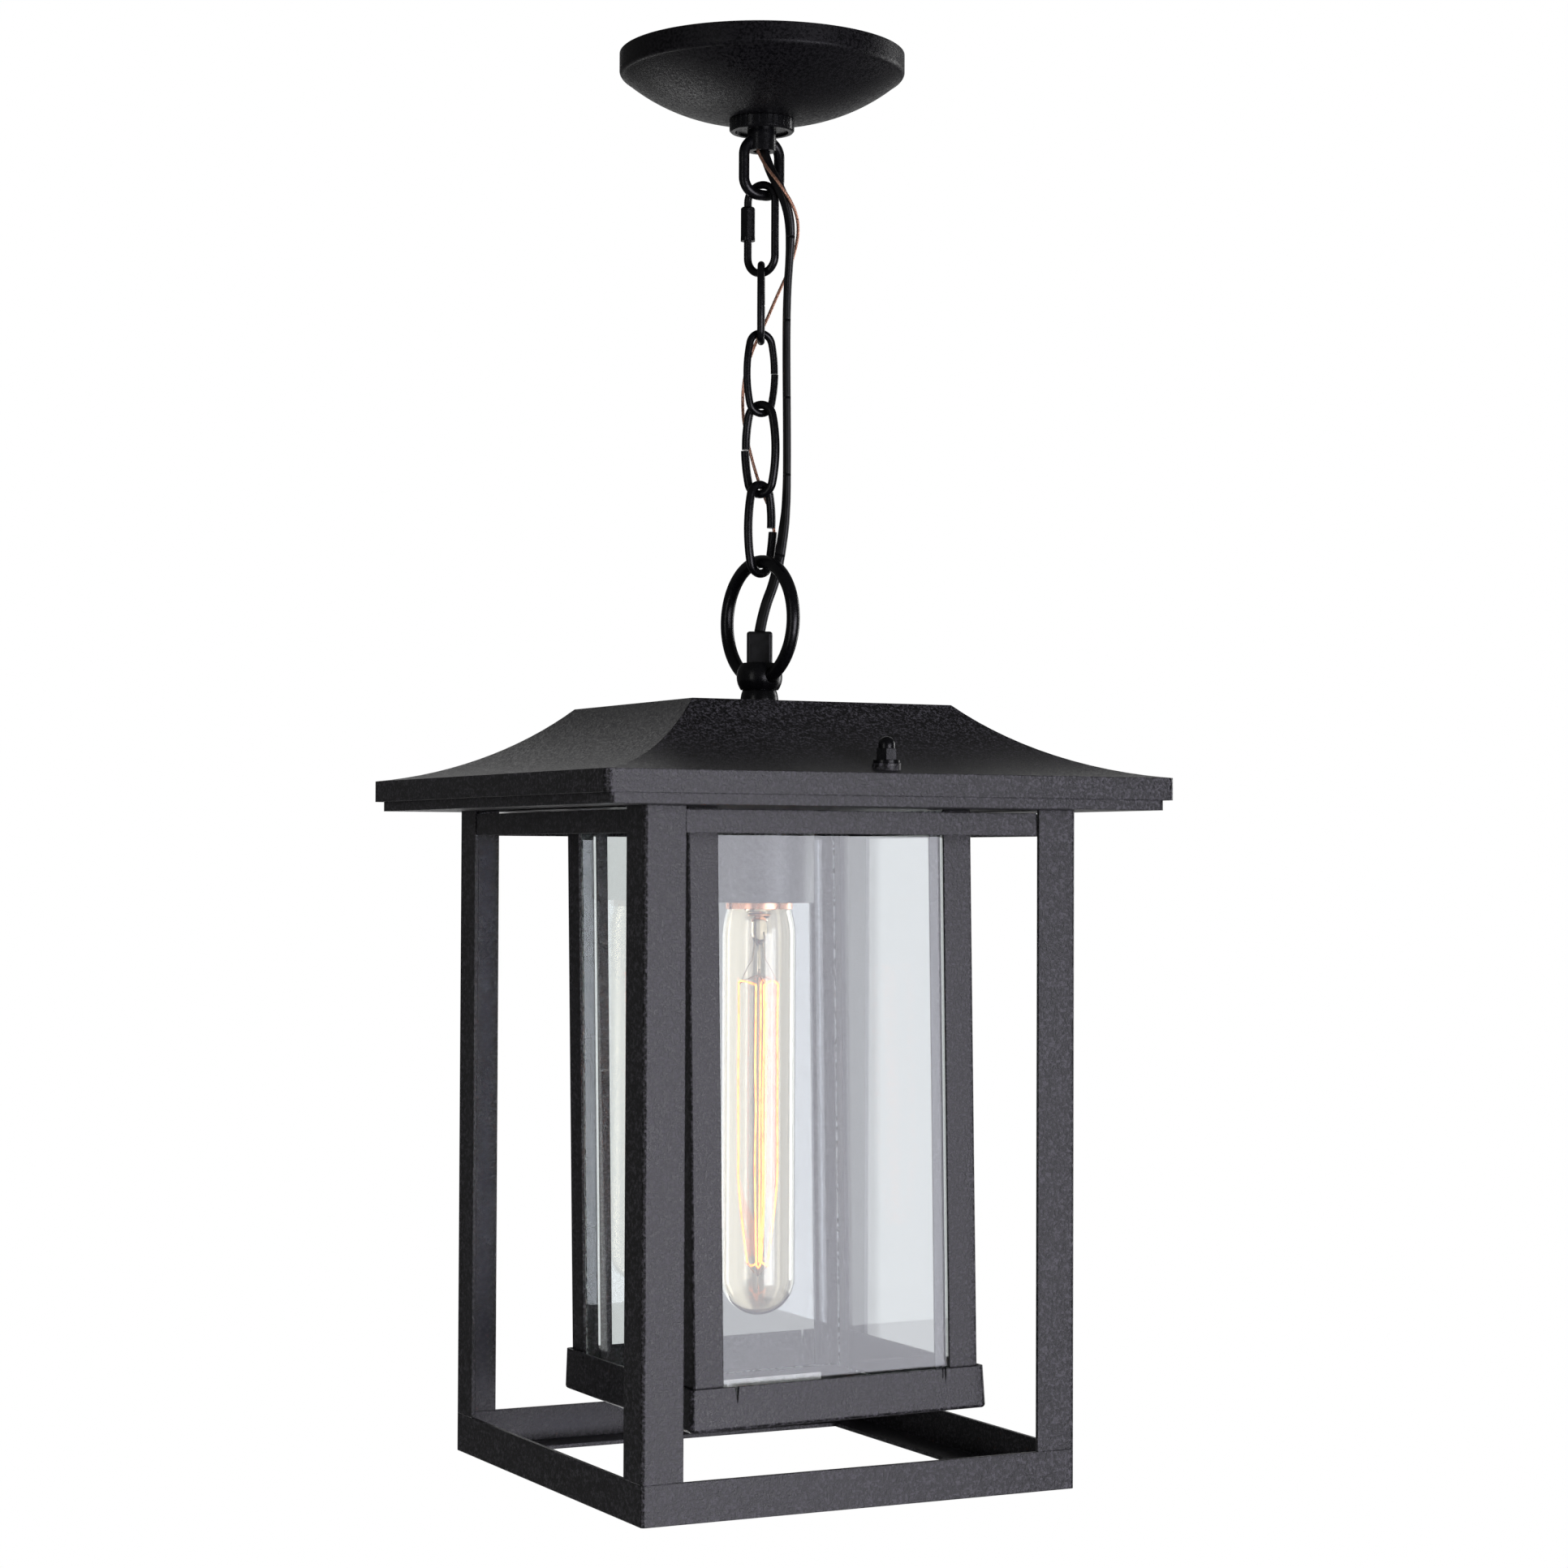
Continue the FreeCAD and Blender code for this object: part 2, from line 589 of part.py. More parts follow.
def tray():
    half, wall = TRAY_HALF, TRAY_WALL
    foot = flat_outline(half + TRAY_FLARE, TRAY_CORNER_R, TRAY_BOTTOM)
    brim = flat_outline(half - TRAY_FLARE, TRAY_CORNER_R, TRAY_TOP)
    solid = Part.makeLoft([foot, brim], True, True)
    bottom = [e for e in solid.Edges if abs(e.CenterOfMass.z - TRAY_BOTTOM) < 1e-3]
    solid = solid.makeFillet(TRAY_BOTTOM_R, bottom)
    inner = half - TRAY_FLARE - wall
    solid = solid.cut(rounded_square(inner, 0.8, TRAY_BOTTOM + wall, TRAY_TOP + 1))
    slits = []
    for angle in QUARTERS:
        for place, width, depth in TRAY_SLITS:
            front, top = -half - 1, TRAY_TOP + 0.1
            corners = [V(place - width / 2, front, top), V(place + width / 2, front, top),
                       V(place, front, TRAY_TOP - depth), V(place - width / 2, front, top)]
            slit = Part.Face(Part.makePolygon(corners)).extrude(V(0, wall + 2, 0))
            slits.append(turned(slit, angle))
    return askew(solid.cut(slits))


# ---- lamp ----
def socket_cup():
    inner = CUP_R - CUP_WALL
    return lathe([(CUP_R, CUP_BOTTOM), (CUP_R, CUP_TOP - 3.0), (CUP_R - 0.9, CUP_TOP - 0.9, "arc"),
                  (CUP_R - 3.0, CUP_TOP), (HUB_STEM_R + 0.1, CUP_TOP), (HUB_STEM_R + 0.1, CUP_TOP - CUP_WALL),
                  (inner - 2.2, CUP_TOP - CUP_WALL), (inner, CUP_TOP - 3.2), (inner, CUP_BOTTOM)])


def lamp_socket():
    low, high = CUP_BOTTOM + 1.5, CUP_TOP - CUP_WALL
    return lathe([(SOCKET_R, low), (SOCKET_R, high - 4.0), (SOCKET_R - 4.0, high), (3.0, high),
                  (3.0, BULB_BASE_TOP + 4.0), (SOCKET_BORE_R, BULB_BASE_TOP + 4.0), (SOCKET_BORE_R, low)])


def bulb_outline(wall):
    radius, tip = BULB_R - wall, BULB_TIP + wall
    neck_r = BULB_BASE_R - 0.6 - wall
    top = BULB_NECK
    eighth = radius * sqrt(0.5)
    return [(0, tip), (eighth, BULB_TIP + BULB_R - eighth, "arc"), (radius, BULB_TIP + BULB_R),
            (radius, top - 14.0), (radius - 0.4, top - 6.0, "arc"), (neck_r, top)]


def bulb_glass():
    outside = bulb_outline(0.0)
    inside = bulb_outline(BULB_WALL)
    return lathe(outside + inside[::-1])


def bulb_base():
    low, high = BULB_NECK, BULB_BASE_TOP
    points = [(0, low), (BULB_BASE_R, low), (BULB_BASE_R, low + 3.0)]
    turns, pitch = 5, 3.2
    for k in range(turns):
        z = low + 3.0 + k * pitch
        points += [(BULB_BASE_R - 0.9, z + pitch / 2), (BULB_BASE_R, z + pitch)]
    points += [(9.0, high - 2.5), (4.5, high - 1.0), (4.5, high), (0, high)]
    return lathe(points)


def bulb_stem():
    top = BULB_NECK
    foot = FILAMENT[0] - 16.0
    return lathe([(0, foot), (STEM_WIRE_R, foot), (STEM_WIRE_R, top - 26.0), (2.6, top - 22.0),
                  (3.0, top - 14.0), (6.0, top - 3.0), (6.0, top), (0, top)])


def filament():
    """A cage of strands between two hoops, with an arm at the foot that reaches for the stem."""
    wire = FILAMENT_WIRE_R
    foot, waist, top = [V(radius, 0, z) for radius, z in zip(FILAMENT_R, FILAMENT)]
    slope = waist - foot
    strand = rod(wire, waist.z, top.z, waist.x)
    bead = Part.makeSphere(1.25 * wire, waist)
    strand = strand.fuse([bead, Part.makeCylinder(wire, slope.Length, foot, slope)])
    legs = [turned(strand, 360.0 * k / FILAMENT_LEGS) for k in range(FILAMENT_LEGS)]
    hoops = [Part.makeTorus(end.x, 1.25 * wire, V(0, 0, end.z)) for end in (foot, top)]
    clear = STEM_WIRE_R + 0.05
    arm = Part.makeCylinder(0.8 * wire, foot.x - clear, V(clear, 0, foot.z), V(1, 0, 0))
    return hoops[0].fuse([hoops[1], arm] + legs)


# ---- cords ----
def viewed(point):
    """A route point (to the right, towards the viewer, up) as a point of the model."""
    right, near, up = point
    angle = radians(VIEW_TURN)
    return V(right * cos(angle) + near * sin(angle), right * sin(angle) - near * cos(angle), up)


def bend(before, point, after):
    """The tangent points and middle of the largest arc that the two runs at a point allow."""
    back, on = (before - point), (after - point)
    shorter = min(back.Length, on.Length)
    back.normalize()
    on.normalize()
    turn = pi - acos(max(-1.0, min(1.0, back.dot(on))))
    reach = 0.45 * shorter
    radius = reach / tan(turn / 2)
    to_centre = (back + on).normalize() * (radius / cos(turn / 2))
    centre = point + to_centre
    middle = centre - (to_centre * (radius / to_centre.Length))
    return point + back * reach, middle, point + on * reach, radius


def cord_pieces(name, route, cuts, radius):
    points = [viewed(p) for p in route]
    last = len(points) - 1
    bends = {k: bend(points[k - 1], points[k], points[k + 1]) for k in range(1, last)}
    radii = [b[3] for b in bends.values()]
    print(name, "radii", " ".join("%.0f" % r for r in radii))
    stops = [-1] + list(cuts) + [last]
    for number in range(len(stops) - 1):
        first, final = stops[number] + 1, stops[number + 1]
        here = points[0] if number == 0 else (points[first - 1] + points[first]) * 0.5
        edges = []
        for k in range(max(first, 1), min(final, last - 1) + 1):
            start, middle, end, _ = bends[k]
            edges.append(Part.makeLine(here, start))
            edges.append(Part.Arc(start, middle, end).toShape())
            here = end
        finish = points[last] if final == last else (points[final] + points[final + 1]) * 0.5
        edges.append(Part.makeLine(here, finish))
        length = sum(e.Length for e in edges)
        solid = sweep(edges, radius)
        share = solid.Volume / (pi * radius ** 2 * length)
        print(name, number + 1, "length %.1f, volume over section times length %.3f" % (length, share))
        save("%s_%d" % (name, number + 1), solid)


# ---- build ----
def build_ceiling_fitting():
    save("crossbar", crossbar())
    save("nipple", nipple())
    save("lock_nut", lock_nut())
    save("ground_screw", ground_screw())
    save("canopy", canopy())
    save("collar_nut", collar_nut())
    save("canopy_loop", canopy_loop())


def build_chain(tops):
    save("quick_link", hung(quick_link(), tops[0], QUICK_TURN))
    save("quick_link_sleeve", hung(quick_sleeve(), tops[0], QUICK_TURN))
    for k, (wire, half, length, end_r, gap, jog, angle) in enumerate(LINKS):
        link = chain_link(wire, half, length, end_r, gap, jog)
        save("chain_link_%d" % (k + 1), hung(link, tops[k + 1], angle))
    save("hanging_ring", hanging_ring(tops[5] - RING_R))


def build_roof(tops):
    save("hub", at_height(hub(tops[5] - RING_R)))
    save("hub_nut", at_height(hub_nut()))
    save("strain_relief", at_height(strain_relief()))
    save("roof_shell", at_height(roof_shell()))
    save("roof_base", at_height(roof_base()))
    save("cap_nut_front", at_height(cap_nut(-1)))
    save("cap_nut_back", at_height(cap_nut(1)))


def build_frame_and_cage():
    for k, angle in enumerate(QUARTERS):
        save("outer_post_%d" % (k + 1), at_height(turned(outer_post(), angle)))
        save("bottom_rail_%d" % (k + 1), at_height(turned(bottom_rail(), angle)))
        save("top_rail_%d" % (k + 1), at_height(turned(top_rail(angle in (180, 270)), angle)))
        save("cage_post_%d" % (k + 1), at_height(cage_post(angle)))
        save("glass_pane_%d" % (k + 1), at_height(glass_pane(angle)))
    save("tray", at_height(tray()))


def build_lamp():
    save("socket_cup", at_height(socket_cup()))
    save("lamp_socket", at_height(lamp_socket()))
    save("bulb_glass", at_height(bulb_glass()))
    save("bulb_base", at_height(bulb_base()))
    save("bulb_stem", at_height(bulb_stem()))
    save("filament", at_height(filament()))


os.makedirs("parts", exist_ok=True)
bar_tops = chain_tops()
print("bar tops", " ".join("%.2f" % z for z in bar_tops), "ring middle %.2f" % (bar_tops[5] - RING_R))
build_ceiling_fitting()
build_chain(bar_tops)
build_roof(bar_tops)
build_frame_and_cage()
build_lamp()
cord_pieces("power_cord", POWER_ROUTE, POWER_CUTS, POWER_CORD_R)
cord_pieces("ground_wire", GROUND_ROUTE, GROUND_CUTS, GROUND_WIRE_R)
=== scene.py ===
import json
import random
from math import cos, pi, radians, sin

import bmesh
import bpy
from mathutils import Euler, Matrix, Vector


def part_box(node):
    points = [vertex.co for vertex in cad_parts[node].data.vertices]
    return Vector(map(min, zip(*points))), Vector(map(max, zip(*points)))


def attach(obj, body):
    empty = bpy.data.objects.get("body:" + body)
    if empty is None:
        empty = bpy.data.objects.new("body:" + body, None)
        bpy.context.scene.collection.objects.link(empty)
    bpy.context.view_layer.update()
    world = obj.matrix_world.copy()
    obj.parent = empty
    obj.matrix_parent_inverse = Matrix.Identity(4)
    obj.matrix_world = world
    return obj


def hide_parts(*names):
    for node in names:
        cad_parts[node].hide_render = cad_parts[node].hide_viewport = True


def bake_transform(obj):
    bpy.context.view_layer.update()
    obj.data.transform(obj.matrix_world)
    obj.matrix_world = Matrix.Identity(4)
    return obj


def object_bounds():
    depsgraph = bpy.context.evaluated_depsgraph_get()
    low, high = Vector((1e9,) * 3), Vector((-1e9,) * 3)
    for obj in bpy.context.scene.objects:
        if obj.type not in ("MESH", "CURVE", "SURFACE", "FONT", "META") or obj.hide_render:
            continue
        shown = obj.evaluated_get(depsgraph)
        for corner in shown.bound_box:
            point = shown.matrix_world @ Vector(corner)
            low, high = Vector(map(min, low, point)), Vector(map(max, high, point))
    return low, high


# Looks of the hanging lantern, in metres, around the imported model. The model hangs from the
# ceiling plane at z = 0, its front side faces -Y, and the camera sees its front and left sides.

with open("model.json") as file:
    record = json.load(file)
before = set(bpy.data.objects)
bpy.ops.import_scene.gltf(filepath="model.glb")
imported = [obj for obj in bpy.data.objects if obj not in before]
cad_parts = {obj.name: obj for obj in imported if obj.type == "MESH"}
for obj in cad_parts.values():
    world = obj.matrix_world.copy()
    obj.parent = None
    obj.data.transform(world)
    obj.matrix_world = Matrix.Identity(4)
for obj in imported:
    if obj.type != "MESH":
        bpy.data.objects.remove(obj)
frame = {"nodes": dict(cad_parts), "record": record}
cad_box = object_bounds()
nodes = frame["nodes"]

MM = 0.001

# ---- camera: a long lens, a little below the middle of the lantern ----
CAMERA_PLACE = (-0.5881, -1.1812, -0.3199)
CAMERA_HEADING = radians(-26.90)
CAMERA_RISE = radians(1.407)
CAMERA_ROLL = radians(-0.238)
CAMERA_LENS = 77.16
CAMERA_SENSOR = 36.0

# ---- cords: route points are (to the right, towards the viewer, up), as in the part ----
VIEW_TURN = radians(-26.5)
POWER_ROUTE = (
    (0.0008, -0.0004, -0.0372),
    (0.0024, 0.0026, -0.0445),
    (0.0082, 0.0074, -0.0555),
    (0.0114, 0.0058, -0.0665),
    (0.0113, 0.0030, -0.0785),
    (0.0102, 0.0016, -0.0940),
    (0.0100, 0.0010, -0.1150),
    (0.0105, 0.0002, -0.1550),
    (0.0104, 0.0000, -0.1760),
    (0.0093, 0.0005, -0.1880),
    (0.0064, 0.0003, -0.2065),
    (0.0015, 0.0003, -0.2190),
    (0.0000, 0.0000, -0.2278),
)
POWER_CUTS = (3, 5, 6, 7, 9)
POWER_WIDTH = 0.0046
POWER_THICK = 0.0026
LOBE_REACH = radians(103.738)  # how far round each half of the cord runs before the groove
LOBE_POINTS = 9
# How far the flat cord is turned from lying broadside to the viewer, at some heights.
POWER_TWIST = ((-0.037, 62), (-0.050, 44), (-0.066, 52), (-0.085, 72), (-0.165, 72),
               (-0.178, 62), (-0.190, 38), (-0.207, 32), (-0.228, 30))
GROUND_ROUTE = (
    (-0.0019, 0.0013, -0.0372),
    (0.0004, 0.0054, -0.0435),
    (0.0072, 0.0112, -0.0530),
    (0.0130, 0.0086, -0.0615),
    (0.0150, 0.0036, -0.0700),
    (0.0120, -0.0034, -0.0820),
    (0.0066, -0.0080, -0.0930),
    (0.0018, -0.0100, -0.1040),
    (-0.0036, -0.0094, -0.1155),
    (-0.0070, -0.0074, -0.1275),
    (-0.0072, -0.0062, -0.1410),
    (-0.0056, -0.0066, -0.1495),
    (-0.0034, -0.0072, -0.1590),
    (0.0002, -0.0082, -0.1705),
    (0.0048, -0.0090, -0.1805),
    (0.0058, -0.0086, -0.1900),
    (0.0060, -0.0064, -0.2010),
    (0.0040, -0.0044, -0.2105),
    (0.0014, -0.0035, -0.2195),
    (0.0004, -0.0031, -0.2275),
)
GROUND_CUTS = (3, 6, 9, 12, 15)
GROUND_WIDTH = 0.0013
STRANDS = 6  # round a straight one in the middle
STRAND_R = 0.00024
STRAND_PITCH = 0.0075
POWER_STEP = 0.8 * MM  # how far apart the sections of each line stand
GROUND_STEP = 0.5 * MM
LAMP_WIRE_STEP = 0.9 * MM
ARRIS = 0.00035  # the small bevel round a pane

# ---- the cage of glass stands askew, as in the part ----
CAGE_TOP = cad_box[0].z + 0.2569
CAGE_FOOT = cad_box[0].z + 0.0287
CAGE_SHIFT = (0.0018, -0.0015)
CAGE_TURN = radians(-1.2)
CAGE_TILT = radians(-0.9)
CAGE_TILT_AXIS = (0.13, 0.99)
CAGE_PANE_FACE = 0.05625  # from the middle to the inner face of the front pane
SIDE_INSET = 0.00145  # the side panes lie this much nearer to the middle
STOP_PLACE = (0.0425, 0.0472)  # across the pane, from the middle
STOP_DEPTH = (0.1 * MM, 1.0 * MM)  # from the pane's inner face
STOP_ENDS = (CAGE_FOOT + 0.3 * MM, CAGE_TOP - 1.5 * MM)
# A thin white bar just behind the front pane's inner face, low down at its left.
STRIP_PLACE = (-0.0475, -0.0060)
STRIP_DEPTH = (0.1 * MM, 0.7 * MM)
STRIP_HEIGHT = (cad_box[0].z + 0.0425, cad_box[0].z + 0.0455)
STRIP_WAVER = 0.05 * MM
BAR_CUTS = 24
BAR_ROUND = 0.12 * MM


def make_camera():
    data = bpy.data.cameras.new("camera")
    data.sensor_width = CAMERA_SENSOR
    data.lens = CAMERA_LENS
    camera = bpy.data.objects.new("camera", data)
    camera.location = CAMERA_PLACE
    camera.rotation_euler = Euler((pi / 2 + CAMERA_RISE, CAMERA_ROLL, CAMERA_HEADING))
    bpy.context.scene.collection.objects.link(camera)
    bpy.context.scene.camera = camera


make_camera()


# ---- mesh helpers ----
def show(name, data, *materials):
    """A new object in the scene with this mesh and these materials."""
    for material in materials:
        data.materials.append(material)
    piece = bpy.data.objects.new(name, data)
    bpy.context.scene.collection.objects.link(piece)
    return piece


def new_piece(name, points, faces, material, smooth=True):
    data = bpy.data.meshes.new(name)
    data.from_pydata([tuple(p) for p in points], [], faces)
    data.update()
    for face in data.polygons:
        face.use_smooth = smooth
    return show(name, data, material)


def edited_piece(name, mesh, *materials):
    """A new object from an edited mesh, which is freed."""
    data = bpy.data.meshes.new(name)
    mesh.to_mesh(data)
    mesh.free()
    return show(name, data, *materials)


def viewed(place):
    """A route point (to the right, towards the viewer, up) as a point of the model."""
    right, near, up = place
    return Vector((right * cos(VIEW_TURN) + near * sin(VIEW_TURN),
                   right * sin(VIEW_TURN) - near * cos(VIEW_TURN), up))


def smooth_line(name, control):
    """Points along the NURBS line that has these control points."""
    curve = bpy.data.curves.new(name, "CURVE")
    curve.dimensions = "3D"
    curve.resolution_u = 24
    spline = curve.splines.new("NURBS")
    spline.points.add(len(control) - 1)
    for point, place in zip(spline.points, control):
        point.co = (place.x, place.y, place.z, 1.0)
    spline.order_u = 3
    spline.use_endpoint_u = True
    holder = bpy.data.objects.new(name, curve)
    mesh = bpy.data.meshes.new_from_object(holder)
    line = [v.co.copy() for v in mesh.vertices]
    bpy.data.objects.remove(holder)
    bpy.data.meshes.remove(mesh)
    return line


def spaced(line, step):
    """The same line with points about a step apart."""
    total = sum((b - a).length for a, b in zip(line, line[1:]))
    count = max(2, round(total / step))
    wanted = [total * k / count for k in range(1, count)]
    made, run = [line[0]], 0.0
    for a, b in zip(line, line[1:]):
        length = (b - a).length
        while wanted and run + length >= wanted[0]:
            made.append(a.lerp(b, (wanted.pop(0) - run) / length))
        run += length
    return made + [line[-1]]


def directions(line):
    ahead = [line[1] - line[0]] + [c - a for a, c in zip(line, line[2:])] + [line[-1] - line[-2]]
    return [d.normalized() for d in ahead]


def carried_sides(line):
    """A sideways direction at each point that turns as little as it can along the line."""
    along = directions(line)
    side = along[0].orthogonal().normalized()
    sides = []
    for direction in along:
        side = (side - direction * side.dot(direction)).normalized()
        sides.append(side)
    return sides


def add_skin(faces, base, rings, count):
    """Add the faces round a row of rings of points, and one at each end."""
    for ring in range(rings - 1):
        for k in range(count):
            a = base + ring * count + k
            b = base + ring * count + (k + 1) % count
            faces.append((a, b, b + count, a + count))
    faces.append(tuple(range(base + count - 1, base - 1, -1)))
    last = base + (rings - 1) * count
    faces.append(tuple(range(last, last + count)))


def tube(line, sides, section, points, faces):
    """Add a closed tube to points and faces. Its section is (sideways, crossways) pairs."""
    base = len(points)
    for place, direction, side in zip(line, directions(line), sides):
        across = direction.cross(side)
        points.extend(place + side * u + across * v for u, v in section)
    add_skin(faces, base, len(line), len(section))


def circle(radius, count):
    turns = [2 * pi * k / count for k in range(count)]
    return [(radius * cos(turn), radius * sin(turn)) for turn in turns]


def twin_section(width, thick):
    """Two round conductors side by side, with a groove between them on both faces."""
    radius = thick / 2
    offset = width / 2 - radius
    lobe = [LOBE_REACH * (2 * k / (LOBE_POINTS - 1) - 1) for k in range(LOBE_POINTS)]
    right = [(offset + radius * cos(a), radius * sin(a)) for a in lobe]
    left = [(-x, -y) for x, y in right]
    return right + left


def table_value(table, at):
    """Read a table of (height, value) that goes down, eased between its rows."""
    for (high, first), (low, second) in zip(table, table[1:]):
        if at > low:
            share = min(1.0, max(0.0, (high - at) / (high - low)))
            share = share * share * (3 - 2 * share)
            return first + (second - first) * share
    return table[-1][1]


def cut_line(line, control, cuts):
    """Indexes where the line is cut: nearest the middle of each run that cuts names."""
    found = [0]
    for cut in cuts:
        middle = (control[cut] + control[cut + 1]) / 2
        found.append(min(range(len(line)), key=lambda k: (line[k] - middle).length))
    return found + [len(line) - 1]


def bend_piece(piece):
    """Bake the cord piece's placement into its mesh."""
    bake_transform(piece)


def declare_piece(piece, kind, number):
    node = "%s_%d" % (kind, number + 1)
    bend_piece(piece)
    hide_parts(node)


def make_power_cord(material):
    control = [viewed(p) for p in POWER_ROUTE]
    line = spaced(smooth_line("power_line", control), POWER_STEP)
    sides = []
    for place, direction in zip(line, directions(line)):
        turn = radians(table_value(POWER_TWIST, place.z))
        side = viewed((cos(turn), sin(turn), 0.0))
        sides.append((side - direction * side.dot(direction)).normalized())
    section = twin_section(POWER_WIDTH, POWER_THICK)
    stops = cut_line(line, control, POWER_CUTS)
    for number, (first, last) in enumerate(zip(stops, stops[1:])):
        part, part_sides = line[first:last + 1], sides[first:last + 1]
        points, faces = [], []
        tube(part, part_sides, section, points, faces)
        piece = new_piece("flex_%d" % (number + 1), points, faces, material)
        declare_piece(piece, "power_cord", number)


def make_ground_wire(material):
    control = [viewed(p) for p in GROUND_ROUTE]
    line = spaced(smooth_line("ground_line", control), GROUND_STEP)
    sides = carried_sides(line)
    along = directions(line)
    stops = cut_line(line, control, GROUND_CUTS)
    lay_r = GROUND_WIDTH / 2 - STRAND_R
    runs = [0.0]
    for a, b in zip(line, line[1:]):
        runs.append(runs[-1] + (b - a).length)
    strands = [line]
    for k in range(STRANDS):
        strand = []
        for place, side, direction, run in zip(line, sides, along, runs):
            turn = 2 * pi * (k / STRANDS + run / STRAND_PITCH)
            across = direction.cross(side)
            strand.append(place + (side * cos(turn) + across * sin(turn)) * lay_r)
        strands.append(strand)
    strand_sides = [carried_sides(strand) for strand in strands]
    for number, (first, last) in enumerate(zip(stops, stops[1:])):
        points, faces = [], []
        for strand, its_sides in zip(strands, strand_sides):
            tube(strand[first:last + 1], its_sides[first:last + 1], circle(STRAND_R, 6),
                 points, faces)
        piece = new_piece("ground_strands_%d" % (number + 1), points, faces, material)
        declare_piece(piece, "ground_wire", number)


# ---- material helpers ----
def shader(tree, kind, inputs=(), **settings):
    """A shader node with its settings, and its inputs set or linked."""
    made = tree.nodes.new("ShaderNode" + kind)
    for name, value in settings.items():
        setattr(made, name, value)
    for name, value in dict(inputs).items():
        if isinstance(value, bpy.types.NodeSocket):
            tree.links.new(value, made.inputs[name])
        else:
            made.inputs[name].default_value = value
    return made


def new_material(name, **constants):
    """A Principled material. Constants are its input names with _ for a space."""
    material = bpy.data.materials.new(name)
    material.use_nodes = True
    main = material.node_tree.nodes["Principled BSDF"]
    for key, value in constants.items():
        main.inputs[key.replace("_", " ")].default_value = value
    return material, material.node_tree, main


def place_of(tree):
    return shader(tree, "TexCoord").outputs["Object"]


def noise(tree, scale, detail=2.0, roughness=0.5, stretch=None):
    """Noise in the piece's own space, with features about 1 / scale metres apart."""
    at = place_of(tree)
    if stretch:
        at = shader(tree, "Mapping", {"Vector": at, "Scale": stretch}).outputs["Vector"]
    made = shader(tree, "TexNoise", {"Vector": at, "Scale": scale, "Detail": detail,
                                     "Roughness": roughness})
    return made.outputs["Fac"]


def ramp(tree, value, *stops):
    """A colour ramp. Stops are (place, colour or grey)."""
    made = shader(tree, "ValToRGB", {"Fac": value})
    band = made.color_ramp
    while len(band.elements) < len(stops):
        band.elements.new(0.5)
    for element, (at, colour) in zip(band.elements, stops):
        element.position = at
        element.color = colour if len(colour) == 4 else (*colour, 1.0)
    return made.outputs["Color"]


def grey_ramp(tree, value, low_at, low, high_at, high):
    made = shader(tree, "MapRange", {"Value": value, "From Min": low_at, "From Max": high_at,
                                     "To Min": low, "To Max": high})
    return made.outputs["Result"]


def bump(tree, height, distance, strength, normal=None):
    inputs = {"Height": height, "Distance": distance, "Strength": strength}
    if normal is not None:
        inputs["Normal"] = normal
    return shader(tree, "Bump", inputs).outputs["Normal"]


# ---- materials ----
COAT_EDGE = 0.55 * MM  # how far the coat rounds off the edges of the sheet metal
DIPPED_EDGE = 0.3 * MM
COAT_GRAIN = 850  # noise scales, in features per metre
COAT_DUST = 900
DIPPED_GRAIN = 700


def powder_coat(name, shine, fleck):
    """Black powder coat with a fine leather-like grain, pale flecks and softened edges."""
    material, tree, main = new_material(name, Specular_IOR_Level=shine)
    soft = shader(tree, "Bevel", {"Radius": COAT_EDGE}, samples=4).outputs["Normal"]
    peel = noise(tree, COAT_GRAIN, detail=3, roughness=0.85)
    fine = noise(tree, COAT_DUST, detail=2)
    normal = bump(tree, peel, 0.17 * MM, 0.9, soft)
    normal = bump(tree, fine, 0.05 * MM, 0.6, normal)
    colour = ramp(tree, peel, (0.43, (0.002, 0.002, 0.003)), (0.50, (0.010, 0.009, 0.012)),
                  (0.60, (fleck * 0.92, fleck * 0.88, fleck)))
    tree.links.new(colour, main.inputs["Base Color"])
    tree.links.new(grey_ramp(tree, peel, 0.42, 0.28, 0.58, 0.56), main.inputs["Roughness"])
    tree.links.new(normal, main.inputs["Normal"])
    return material


def satin_black():
    """Smooth dipped black of the chain, the ring and the hub, with faint dimples."""
    material, tree, main = new_material("satin_black", Specular_IOR_Level=0.36)
    soft = shader(tree, "Bevel", {"Radius": DIPPED_EDGE}, samples=4).outputs["Normal"]
    waves = noise(tree, DIPPED_GRAIN, detail=4, roughness=0.65)
    normal = bump(tree, waves, 0.10 * MM, 0.55, soft)
    tree.links.new(ramp(tree, waves, (0.3, (0.003, 0.003, 0.004)), (0.75, (0.008, 0.008, 0.010))),
                   main.inputs["Base Color"])
    tree.links.new(grey_ramp(tree, waves, 0.3, 0.18, 0.7, 0.34), main.inputs["Roughness"])
    tree.links.new(normal, main.inputs["Normal"])
    return material


def cord_sheath():
    """Black cord: slightly glossy, with fine lines along it and a faint bloom."""
    material, tree, main = new_material("cord_sheath", Specular_IOR_Level=0.5)
    lines = noise(tree, 500, detail=3, stretch=(1, 1, 0.05))
    bloom = noise(tree, 160, detail=2)
    tree.links.new(ramp(tree, bloom, (0.35, (0.005, 0.005, 0.006)), (0.7, (0.012, 0.012, 0.014))),
                   main.inputs["Base Color"])
    tree.links.new(grey_ramp(tree, bloom, 0.3, 0.30, 0.7, 0.45), main.inputs["Roughness"])
    tree.links.new(bump(tree, lines, 0.05 * MM, 0.4), main.inputs["Normal"])
    return material


